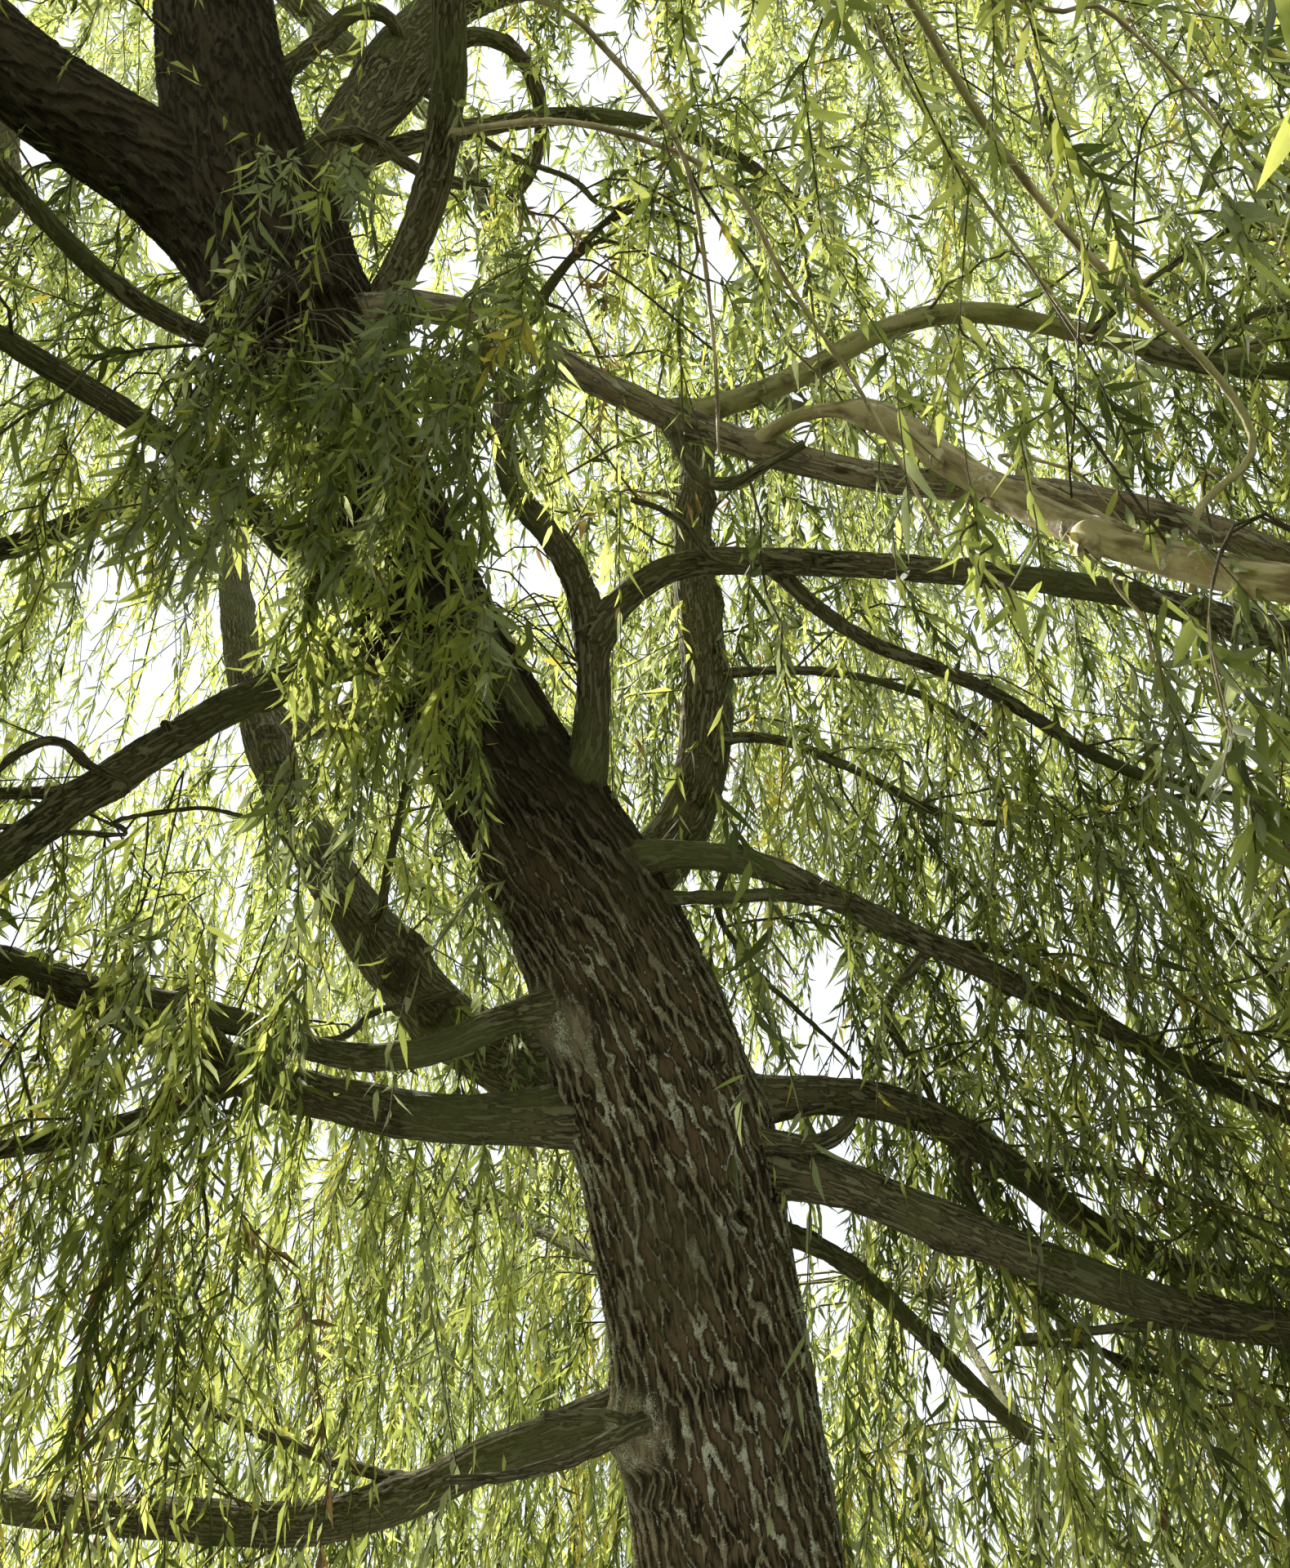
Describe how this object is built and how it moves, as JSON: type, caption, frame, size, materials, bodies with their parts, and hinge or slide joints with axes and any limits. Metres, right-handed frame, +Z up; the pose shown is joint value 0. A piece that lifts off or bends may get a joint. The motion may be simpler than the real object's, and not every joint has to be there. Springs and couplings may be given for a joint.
{
  "type": "weeping willow tree",
  "caption": "Weeping willow with a leaning furrowed trunk, a high fork, long drooping boughs and hanging curtains of narrow leaves.",
  "frame": {"origin": "middle of the trunk's flat cut at ground level, which is the ground mount", "axes": "+Z up out of the level ground, and the picture looks along +Y, so the trunk leans towards -Y and -X"},
  "size_m": [10.071, 10.8124, 9.7148],
  "materials": {
    "trunk_bark": "deeply furrowed grey-brown bark with lichen on its ridges",
    "bough_bark": "finely fissured olive-brown bark",
    "young_bark": "smooth pale tan bark with faint rings",
    "leaves": "thin matt yellow-green leaves that let light through"
  },
  "bodies": {
    "root": {"trunk": "trunk_bark", "leader": "trunk_bark", "bough_left_upper": "trunk_bark", "bough_upper_right": "trunk_bark", "stem_rear_left": "trunk_bark", "stem_rear_right": "trunk_bark", "bough_left_low": "bough_bark", "bough_left_mid": "bough_bark", "bough_left_slender": "bough_bark", "stem_rear_mid": "bough_bark", "bough_rear_low": "bough_bark", "bough_right_thin": "bough_bark", "bough_right_mid": "bough_bark", "bough_right_broken": "bough_bark", "bough_right_upper": "bough_bark", "stem_inner": "bough_bark", "stem_broken": "bough_bark", "bough_right_dark": "bough_bark", "bough_right_fork": "bough_bark", "bough_left_dark": "bough_bark", "bough_left_front": "bough_bark", "bough_left_side": "bough_bark", "bough_left_thin": "bough_bark", "bough_front_low": "bough_bark", "bough_right_long": "young_bark", "bough_right_near": "young_bark", "bough_right_high": "young_bark", "bough_front_high": "bough_bark", "bough_rear_high": "bough_bark", "bough_left_high": "bough_bark", "bough_right_top": "bough_bark", "foliage_left_low": "leaves", "foliage_left_mid": "leaves", "foliage_left_slender": "leaves", "foliage_rear_left": "leaves", "foliage_rear_mid": "leaves", "foliage_rear_low": "leaves", "foliage_right_thin": "leaves", "foliage_right_mid": "leaves", "foliage_right_upper": "leaves", "foliage_rear_right": "leaves", "foliage_inner": "leaves", "foliage_right_dark": "leaves", "foliage_right_fork": "leaves", "foliage_left_dark": "leaves", "foliage_left_front": "leaves", "foliage_left_side": "leaves", "foliage_left_thin": "leaves", "foliage_front_low": "leaves", "foliage_right_long": "leaves", "foliage_right_near": "leaves", "foliage_right_high": "leaves", "foliage_upper_right": "leaves", "foliage_front_high": "leaves", "foliage_rear_high": "leaves", "foliage_left_upper": "leaves", "foliage_left_high": "leaves", "foliage_right_top": "leaves", "foliage_crown": "leaves"}
  },
  "joints": []
}
